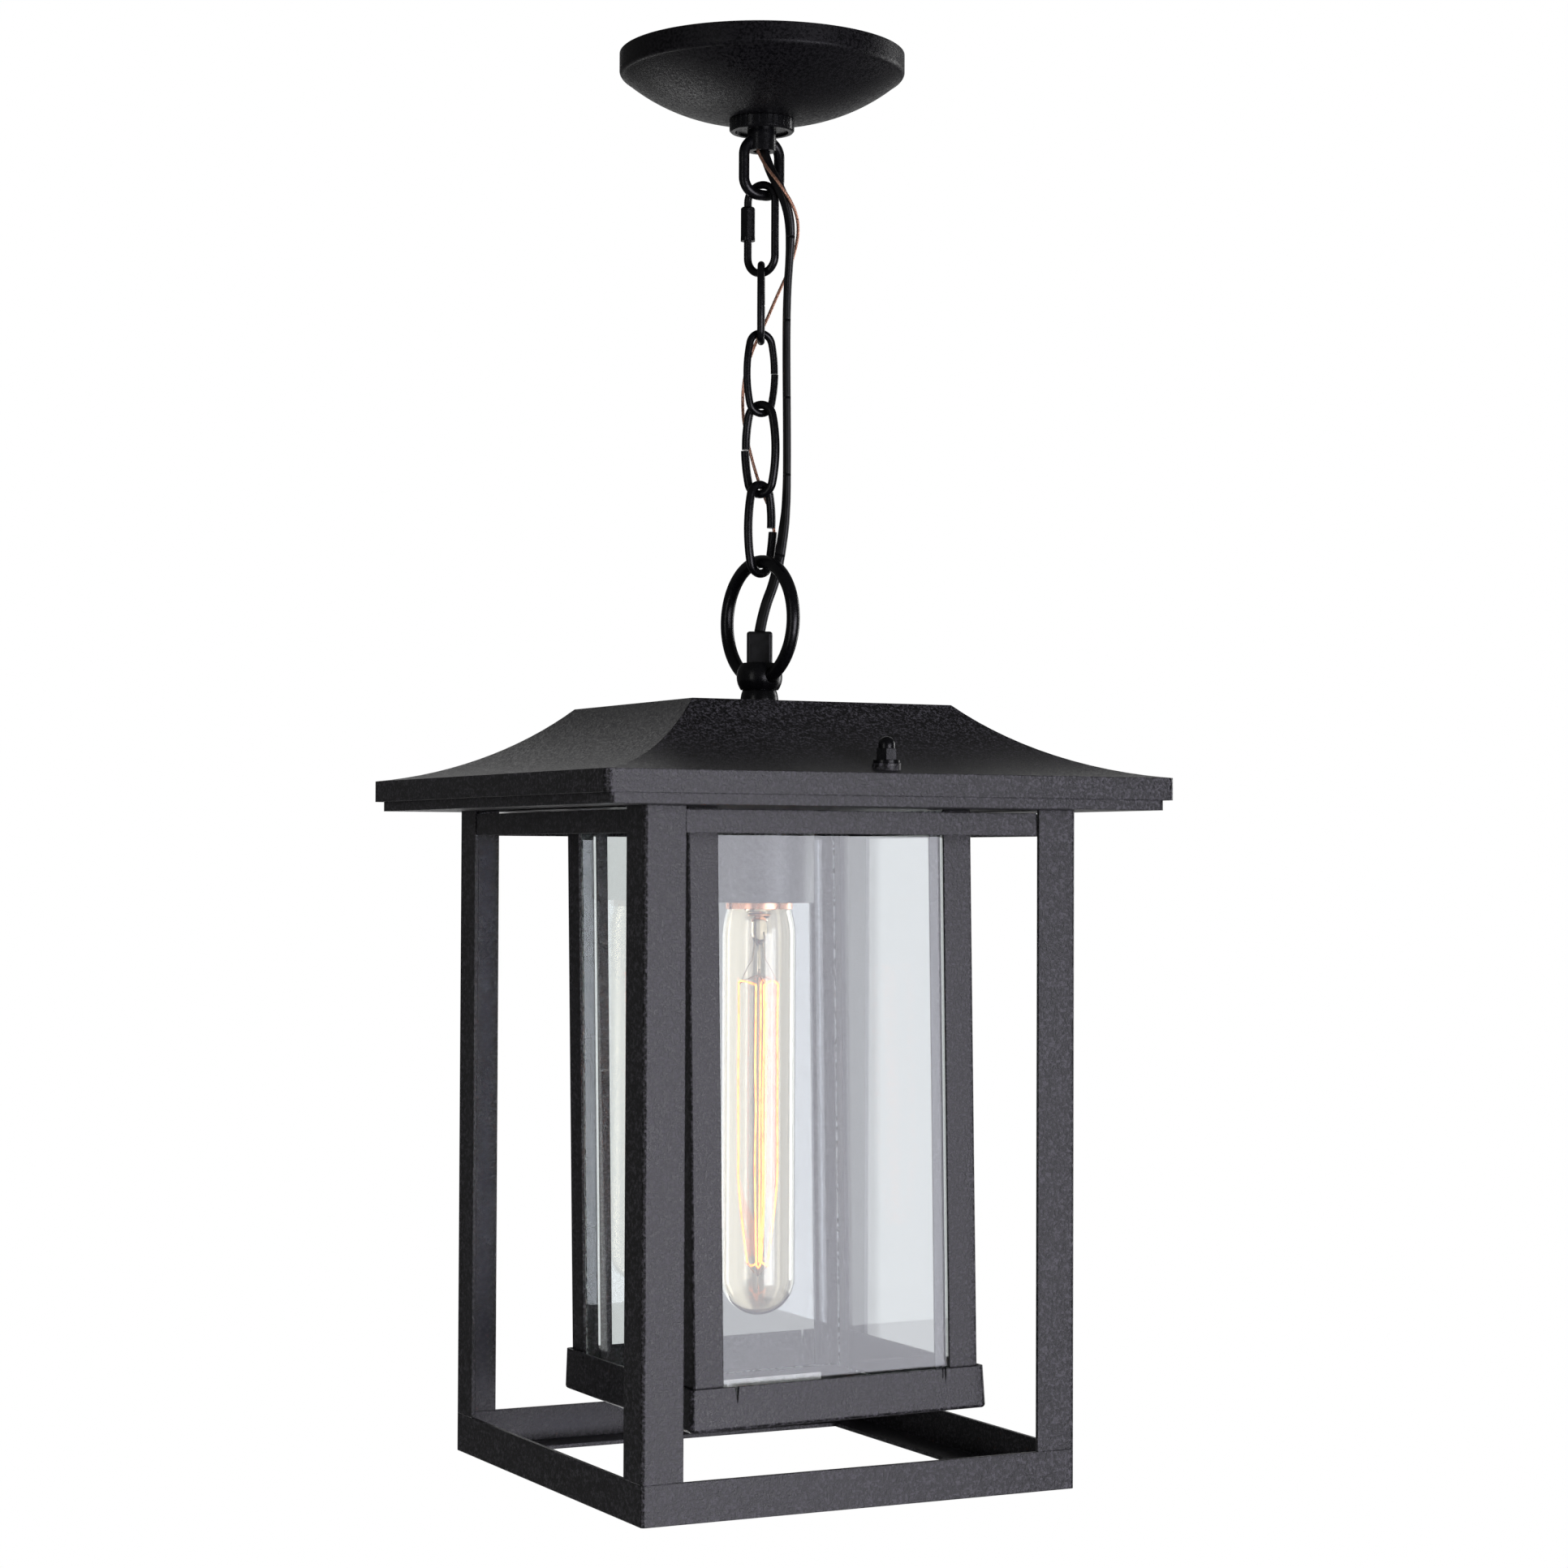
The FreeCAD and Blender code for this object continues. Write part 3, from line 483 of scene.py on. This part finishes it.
def metal(name, dark, light, roughness, grain=400, metallic=1.0):
    material, tree, main = new_material(name, Metallic=metallic)
    mottle = noise(tree, grain, detail=4)
    tree.links.new(ramp(tree, mottle, (0.3, dark), (0.72, light)), main.inputs["Base Color"])
    low, high = roughness
    tree.links.new(grey_ramp(tree, mottle, 0.3, low, 0.7, high), main.inputs["Roughness"])
    tree.links.new(bump(tree, mottle, 0.03 * MM, 0.4), main.inputs["Normal"])
    return material


def painted(name, dark, light, roughness):
    material, tree, main = new_material(name, Specular_IOR_Level=0.5)
    mottle = noise(tree, 500, detail=3)
    tree.links.new(ramp(tree, mottle, (0.3, dark), (0.7, light)), main.inputs["Base Color"])
    low, high = roughness
    tree.links.new(grey_ramp(tree, mottle, 0.3, low, 0.7, high), main.inputs["Roughness"])
    tree.links.new(bump(tree, mottle, 0.05 * MM, 0.3), main.inputs["Normal"])
    return material


def clear_glass(name, tint, waviness):
    """Clear glass whose faces are very slightly wavy."""
    material, tree, main = new_material(name, Transmission_Weight=1.0, Roughness=0.0, IOR=1.5)
    waves = noise(tree, 14, detail=1)
    lighter = tuple(min(1.0, part * 1.01) for part in tint)
    tree.links.new(ramp(tree, waves, (0.3, tint), (0.7, lighter)), main.inputs["Base Color"])
    tree.links.new(bump(tree, waves, waviness, 0.2), main.inputs["Normal"])
    return material


def ground_edge():
    """The seamed edge of a glass pane: greenish white, rough and chipped."""
    material, tree, main = new_material("ground_edge", Transmission_Weight=0.35, IOR=1.5)
    chips = noise(tree, 420, detail=3, roughness=0.7)
    tree.links.new(ramp(tree, chips, (0.46, (0.01, 0.02, 0.02)), (0.54, (0.85, 0.93, 0.90))),
                   main.inputs["Base Color"])
    tree.links.new(grey_ramp(tree, chips, 0.3, 0.25, 0.7, 0.6), main.inputs["Roughness"])
    tree.links.new(bump(tree, chips, 0.25 * MM, 1.0), main.inputs["Normal"])
    return material


def glowing(name, hot, warm, strength):
    """A glowing wire, hotter in some places along it than in others."""
    material, tree, main = new_material(name, Roughness=0.6)
    beads = noise(tree, 260, detail=2)
    tree.links.new(ramp(tree, beads, (0.35, warm), (0.6, hot)), main.inputs["Emission Color"])
    tree.links.new(ramp(tree, beads, (0.35, warm), (0.6, hot)), main.inputs["Base Color"])
    main.inputs["Emission Strength"].default_value = strength
    return material


# ---- glass panes ----
def make_pane(node, glass, edge):
    """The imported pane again, with a small arris round both faces and ground edges."""
    source = nodes[node]
    mesh = bmesh.new()
    mesh.from_mesh(source.data)
    mesh.transform(source.matrix_world)
    bmesh.ops.remove_doubles(mesh, verts=mesh.verts[:], dist=0.01 * MM)
    bmesh.ops.dissolve_limit(mesh, angle_limit=radians(2), verts=mesh.verts[:],
                             edges=mesh.edges[:])
    bmesh.ops.bevel(mesh, geom=mesh.edges[:], offset=ARRIS, segments=2, affect="EDGES")
    broad = max(face.calc_area() for face in mesh.faces) / 2
    for face in mesh.faces:
        face.material_index = 0 if face.calc_area() > broad else 1
        face.smooth = False
    piece = edited_piece(node.replace("pane", "sheet"), mesh, glass, edge)
    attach(piece, "frame")
    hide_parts(node)


def in_cage(place, turn):
    """A place in the square cage, turned to one of its sides and put askew as the cage is."""
    lean = Matrix.Rotation(CAGE_TILT, 3, Vector((*CAGE_TILT_AXIS, 0)).normalized())
    spin = Matrix.Rotation(CAGE_TURN + turn, 3, "Z")
    from_top = spin @ Vector(place) - Vector((0, 0, CAGE_TOP))
    return lean @ from_top + Vector((CAGE_SHIFT[0], CAGE_SHIFT[1], CAGE_TOP))


def soft_bar(name, low, high, turn, material, waver=0.0):
    """A thin bar of the cage with rounded edges, and long edges that waver a little."""
    chance = random.Random(3)
    size = [high[k] - low[k] for k in range(3)]
    mesh = bmesh.new()
    bmesh.ops.create_cube(mesh, size=1.0)
    for vertex in mesh.verts:
        vertex.co = Vector((low[k] + high[k]) / 2 + vertex.co[k] * size[k] for k in range(3))
    long_edges = [e for e in mesh.edges if abs(e.calc_length() - max(size)) < MM / 10]
    bmesh.ops.subdivide_edges(mesh, edges=long_edges, cuts=BAR_CUTS, use_grid_fill=True)
    for vertex in mesh.verts:
        vertex.co = Vector(vertex.co[k] + chance.uniform(-waver, waver) for k in range(3))
    bmesh.ops.bevel(mesh, geom=[e for e in mesh.edges if e.calc_face_angle(0.0) > 1.0],
                    offset=BAR_ROUND, segments=2, affect="EDGES")
    for vertex in mesh.verts:
        vertex.co = in_cage(vertex.co, turn)
    piece = edited_piece(name, mesh, material)
    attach(piece, "frame")


def make_stops(coat, strip_material):
    """A flat stop by one side of each pane, on its inner face, and a thin white strip on the front
    pane's inner face.
    """
    for number, degrees in enumerate((0, 90, 180, 270), 1):
        face = -CAGE_PANE_FACE + (SIDE_INSET if degrees % 180 else 0.0)
        low, high = zip(STOP_PLACE, [face + depth for depth in STOP_DEPTH], STOP_ENDS)
        soft_bar("glass_stop_%d" % number, low, high, radians(degrees), coat)
    low, high = zip(STRIP_PLACE, [-CAGE_PANE_FACE + depth for depth in STRIP_DEPTH], STRIP_HEIGHT)
    soft_bar("pane_pad", low, high, 0.0, strip_material, STRIP_WAVER)


# ---- lamp ----
FILAMENT_LEVELS = (-0.475, -0.447, -0.366)  # foot, waist and top of the cage of strands
FILAMENT_RADII = (0.0042, 0.0082, 0.0082)
# Where the strands stand round the rod, in degrees from the viewer's right.
STRAND_TURNS = (168, 262, 283, 335, 70, 85)
STRAND_STEPS = 5
STRAND_SWAY = 0.35 * MM
HOOP_RISE = 1.5 * MM
HOT_WIRE_R = 0.00036
SUPPORT_R = 0.00022


def lathe_piece(name, outline, material, count=40):
    points = [(x, y, height) for radius, height in outline for x, y in circle(radius, count)]
    faces = []
    add_skin(faces, 0, len(outline), count)
    return new_piece(name, points, faces, material)


def wires(name, paths, radius, material, count=8):
    points, faces = [], []
    for path in paths:
        line = spaced(smooth_line(name, [Vector(p) for p in path]), LAMP_WIRE_STEP)
        tube(line, carried_sides(line), circle(radius, count), points, faces)
    return new_piece(name, points, faces, material)


def around(radius, turn, height):
    return Vector((radius * cos(turn), radius * sin(turn), height))


def make_filament(hot):
    """Strands that run up and down between the hooks, drawing in at the foot."""
    chance = random.Random(7)
    foot, waist, top = FILAMENT_LEVELS
    foot_r, waist_r, top_r = FILAMENT_RADII
    paths = []
    turns = [radians(turn) + VIEW_TURN for turn in STRAND_TURNS]
    for turn in turns:
        path = [around(top_r, turn, top)]
        for step in range(1, STRAND_STEPS):
            height = top + (waist - top) * step / STRAND_STEPS
            sway = chance.uniform(-STRAND_SWAY, STRAND_SWAY)
            path.append(around(top_r + sway, turn + chance.uniform(-0.05, 0.05), height))
        path.append(around(waist_r, turn, waist))
        path.append(around(foot_r, turn, foot))
        paths.append(path)
    for k, turn in enumerate(turns):
        gap = (turns[(k + 1) % len(turns)] - turn) % (2 * pi)
        level, radius, rise = (foot, foot_r, -HOOP_RISE) if k % 2 else (top, top_r, HOOP_RISE)
        paths.append([around(radius, turn + gap * share, level + rise * sin(pi * share))
                      for share in (0.0, 0.25, 0.5, 0.75, 1.0)])
    piece = wires("glow_strands", paths, HOT_WIRE_R, hot)
    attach(piece, "bulb")
    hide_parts("filament")


def make_stem(glass, wire):
    """Glass press with its flare and rod, two leads, and the supports that hold the strands."""
    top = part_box("bulb_stem")[1].z
    rod_foot = FILAMENT_LEVELS[2] + 4 * MM
    outline = [(0.3 * MM, rod_foot), (0.7 * MM, rod_foot + 0.5 * MM), (0.6 * MM, rod_foot + 2 * MM),
               (0.5 * MM, top - 15 * MM), (2.4 * MM, top - 12.5 * MM), (3.3 * MM, top - 9 * MM),
               (3.1 * MM, top - 5 * MM), (5.0 * MM, top - 1.5 * MM), (6.0 * MM, top - 0.2 * MM)]
    press = lathe_piece("lamp_press", outline, glass)
    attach(press, "bulb")
    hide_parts("bulb_stem")
    foot, waist, upper = FILAMENT_LEVELS
    paths = [[(0, 0, rod_foot + 2 * MM), (0, 0, waist), (0, 0, foot - 10 * MM)]]
    for side in (-1, 1):
        paths.append([(side * 1.2 * MM, 0, top - 9 * MM),
                      (side * 2.6 * MM, side * 0.4 * MM, top - 20 * MM),
                      (side * 4.5 * MM, 0, upper + 8 * MM), (side * FILAMENT_RADII[2], 0, upper)])
    for level, radius, lift in ((foot, FILAMENT_RADII[0], -5 * MM),
                                (upper, FILAMENT_RADII[2], 3.5 * MM)):
        for degrees in STRAND_TURNS:
            turn = radians(degrees) + VIEW_TURN
            paths.append([(0, 0, level + lift), around(radius * 0.5, turn, level + lift * 0.7),
                          around(radius, turn, level)])
    supports = wires("lamp_supports", paths, SUPPORT_R, wire, 6)
    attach(supports, "bulb")


# ---- finishes of the carried-over nodes ----
def finish_node(node, material):
    data = nodes[node].data
    data.materials.clear()
    data.materials.append(material)


def finish_slot(slot, material):
    for part in frame["record"]["subparts"]:
        if part["material_slot"] == slot:
            finish_node(part["node"], material)


# ---- studio: white for the camera, and darker for what the object mirrors ----
WHITE = (1.0, 1.0, 1.0, 1.0)
RIGHT = (cos(VIEW_TURN), sin(VIEW_TURN), 0.0)  # the viewer's right
AWAY = (-sin(VIEW_TURN), cos(VIEW_TURN), 0.0)
DARK_ROOM = 0.07
BACK_PANEL = 0.52  # a pale panel behind the object, that only its glancing faces mirror
PANEL_HALF = 0.34
PANEL_LOW, PANEL_HIGH = -0.35, 0.56
PANEL_FADE_ACROSS, PANEL_FADE_UP, PANEL_FADE_AHEAD = 0.1, 0.15, 0.1
# What rays through glass see, from the viewer's left to right: pale, a grey middle, a lighter
# part, and pale again far to the right, except towards the viewer.
THROUGH_LEFT, THROUGH_MIDDLE, THROUGH_RIGHT, THROUGH_FAR = 0.86, 0.25, 0.45, 0.80
LEFT_EDGE = (-0.030, -0.012)
RIGHT_EDGE = (0.031, 0.036)
FAR_EDGE = (0.28, 0.34)
FAR_EDGE_AHEAD = (-0.50, -0.42)
FLOOR_DROP = 2.05  # from the object down to the floor
FLOOR_REACH = 3.0
COOL_FRONT = (0.96, 0.95, 1.06)
COOL_LEFT = (0.97, 0.95, 1.05)


def area_light(name, place, target, size, power, colour=(1.0, 1.0, 1.0)):
    data = bpy.data.lights.new(name, "AREA")
    data.shape = "RECTANGLE"
    data.size, data.size_y = size
    data.energy = power
    data.color = colour
    light = bpy.data.objects.new(name, data)
    light.location = place
    light.rotation_euler = (Vector(place) - Vector(target)).to_track_quat("Z", "Y").to_euler()
    bpy.context.scene.collection.objects.link(light)


def soft_step(tree, value, start, end):
    made = shader(tree, "MapRange", {"Value": value, "From Min": start, "From Max": end},
                  interpolation_type="SMOOTHSTEP")
    return made.outputs["Result"]


def times(tree, first, second):
    return shader(tree, "Math", {0: first, 1: second}, operation="MULTIPLY").outputs["Value"]


def brighter(tree, first, second):
    return shader(tree, "Math", {0: first, 1: second}, operation="MAXIMUM").outputs["Value"]


def make_world():
    world = bpy.data.worlds.new("studio")
    bpy.context.scene.world = world
    world.use_nodes = True
    tree = world.node_tree
    back = tree.nodes["Background"]
    toward = shader(tree, "TexCoord").outputs["Generated"]
    across, ahead = [shader(tree, "VectorMath", {0: toward, 1: way},
                            operation="DOT_PRODUCT").outputs["Value"] for way in (RIGHT, AWAY)]
    height = shader(tree, "SeparateXYZ", {"Vector": toward}).outputs["Z"]
    panel = times(tree, soft_step(tree, across, -PANEL_HALF, -PANEL_HALF + PANEL_FADE_ACROSS),
                  soft_step(tree, across, PANEL_HALF, PANEL_HALF - PANEL_FADE_ACROSS))
    panel = times(tree, panel, soft_step(tree, height, PANEL_LOW, PANEL_LOW + PANEL_FADE_UP))
    panel = times(tree, panel, soft_step(tree, height, PANEL_HIGH, PANEL_HIGH - PANEL_FADE_UP))
    panel = times(tree, panel, soft_step(tree, ahead, 0.0, PANEL_FADE_AHEAD))
    mirrored = grey_ramp(tree, panel, 0.0, DARK_ROOM, 1.0, BACK_PANEL)
    left = grey_ramp(tree, across, LEFT_EDGE[0], THROUGH_LEFT, LEFT_EDGE[1], THROUGH_MIDDLE)
    right = grey_ramp(tree, across, RIGHT_EDGE[0], 0.0, RIGHT_EDGE[1], THROUGH_RIGHT)
    far = times(tree, soft_step(tree, across, *FAR_EDGE), soft_step(tree, ahead, *FAR_EDGE_AHEAD))
    through = brighter(tree, brighter(tree, left, right), times(tree, far, THROUGH_FAR))
    ray = shader(tree, "LightPath").outputs
    level = shader(tree, "Mix", {"Factor": ray["Is Transmission Ray"], "A": mirrored,
                                 "B": through}).outputs["Result"]
    back.inputs["Color"].default_value = WHITE
    tree.links.new(brighter(tree, level, ray["Is Camera Ray"]), back.inputs["Strength"])


def make_floor():
    material, tree, main = new_material("floor_white", Roughness=0.9)
    main.inputs["Emission Color"].default_value = WHITE
    seen = shader(tree, "LightPath").outputs["Is Camera Ray"]
    tree.links.new(seen, main.inputs["Emission Strength"])
    soft = noise(tree, 3, detail=1)
    tree.links.new(ramp(tree, soft, (0.3, (0.80, 0.80, 0.80)), (0.7, (0.84, 0.84, 0.84))),
                   main.inputs["Base Color"])
    level = cad_box[0].z - FLOOR_DROP
    corners = [(x * FLOOR_REACH, y * FLOOR_REACH, level)
               for x, y in ((-1, -1), (1, -1), (1, 1), (-1, 1))]
    floor = new_piece("studio_floor", corners, [(0, 1, 2, 3)], material, smooth=False)


make_power_cord(cord_sheath())
make_ground_wire(metal("bare_copper", (0.62, 0.30, 0.19), (0.95, 0.60, 0.44), (0.26, 0.44),
                       grain=900, metallic=0.7))

coat = powder_coat("powder_coat", 0.66, 0.17)
satin = satin_black()
finish_slot("powder_black", coat)
finish_slot("chain_black", satin)
# The canopy gets a darker copy of the powder coat, with dim flecks and less shine. This is partly
# its smoother finish and partly painted shade for its down-facing faces.
finish_node("canopy", powder_coat("canopy_coat_with_painted_shade", 0.25, 0.02))
for node in ("hub", "canopy_loop", "cap_nut_front", "cap_nut_back", "collar_nut"):
    finish_node(node, satin)
finish_slot("zinc", metal("zinc_plate", (0.42, 0.43, 0.44), (0.62, 0.63, 0.64), (0.30, 0.48)))
finish_slot("ground_green", painted("green_enamel", (0.01, 0.12, 0.04), (0.02, 0.20, 0.07),
                                    (0.3, 0.45)))
finish_slot("brass", metal("lamp_brass", (0.62, 0.26, 0.15), (0.92, 0.50, 0.34), (0.22, 0.38)))
finish_slot("socket_plastic", painted("black_moulding", (0.008, 0.008, 0.009),
                                      (0.016, 0.016, 0.018), (0.35, 0.5)))
finish_slot("cord_black", cord_sheath())
finish_slot("copper", metal("copper_end", (0.42, 0.17, 0.10), (0.86, 0.46, 0.30), (0.22, 0.40)))

pane_glass = clear_glass("pane_glass", (0.955, 0.985, 0.98), 0.08 * MM)
lamp_glass = clear_glass("lamp_glass", (0.90, 0.85, 0.76), 0.02 * MM)
hot_wire = glowing("hot_wire", (1.0, 0.30, 0.055, 1.0), (1.0, 0.15, 0.018, 1.0), 4.2)
edge_glass = ground_edge()
for number in range(1, 5):
    make_pane("glass_pane_%d" % number, pane_glass, edge_glass)
make_stops(coat, painted("white_strip", (0.62, 0.61, 0.58), (0.85, 0.84, 0.82), (0.8, 0.95)))
finish_slot("clear_glass", pane_glass)
finish_slot("lamp_glass", lamp_glass)
finish_slot("glow_wire", hot_wire)
make_filament(hot_wire)
make_stem(lamp_glass, metal("lamp_lead", (0.30, 0.26, 0.22), (0.60, 0.52, 0.45), (0.25, 0.4)))

make_world()
make_floor()
area_light("key_front", (0.86, -2.10, -0.55), (0.86, 0, -0.55), (0.54, 1.3), 8.4, COOL_FRONT)
area_light("key_left", (0.22, -2.05, -0.62), (0.22, 0, -0.62), (0.9, 1.0), 13.5, COOL_LEFT)
area_light("strip_left", (-1.46, -0.65, -0.35), (0, 0, -0.35), (0.28, 1.3), 2.2)
area_light("low_back", (0.15, 2.00, -1.50), (0, 0, -0.35), (0.9, 0.5), 5)
area_light("fill_right", (1.90, 0.35, -0.20), (0, 0, -0.40), (0.5, 1.2), 9)
bpy.context.scene.view_settings.view_transform = "Standard"
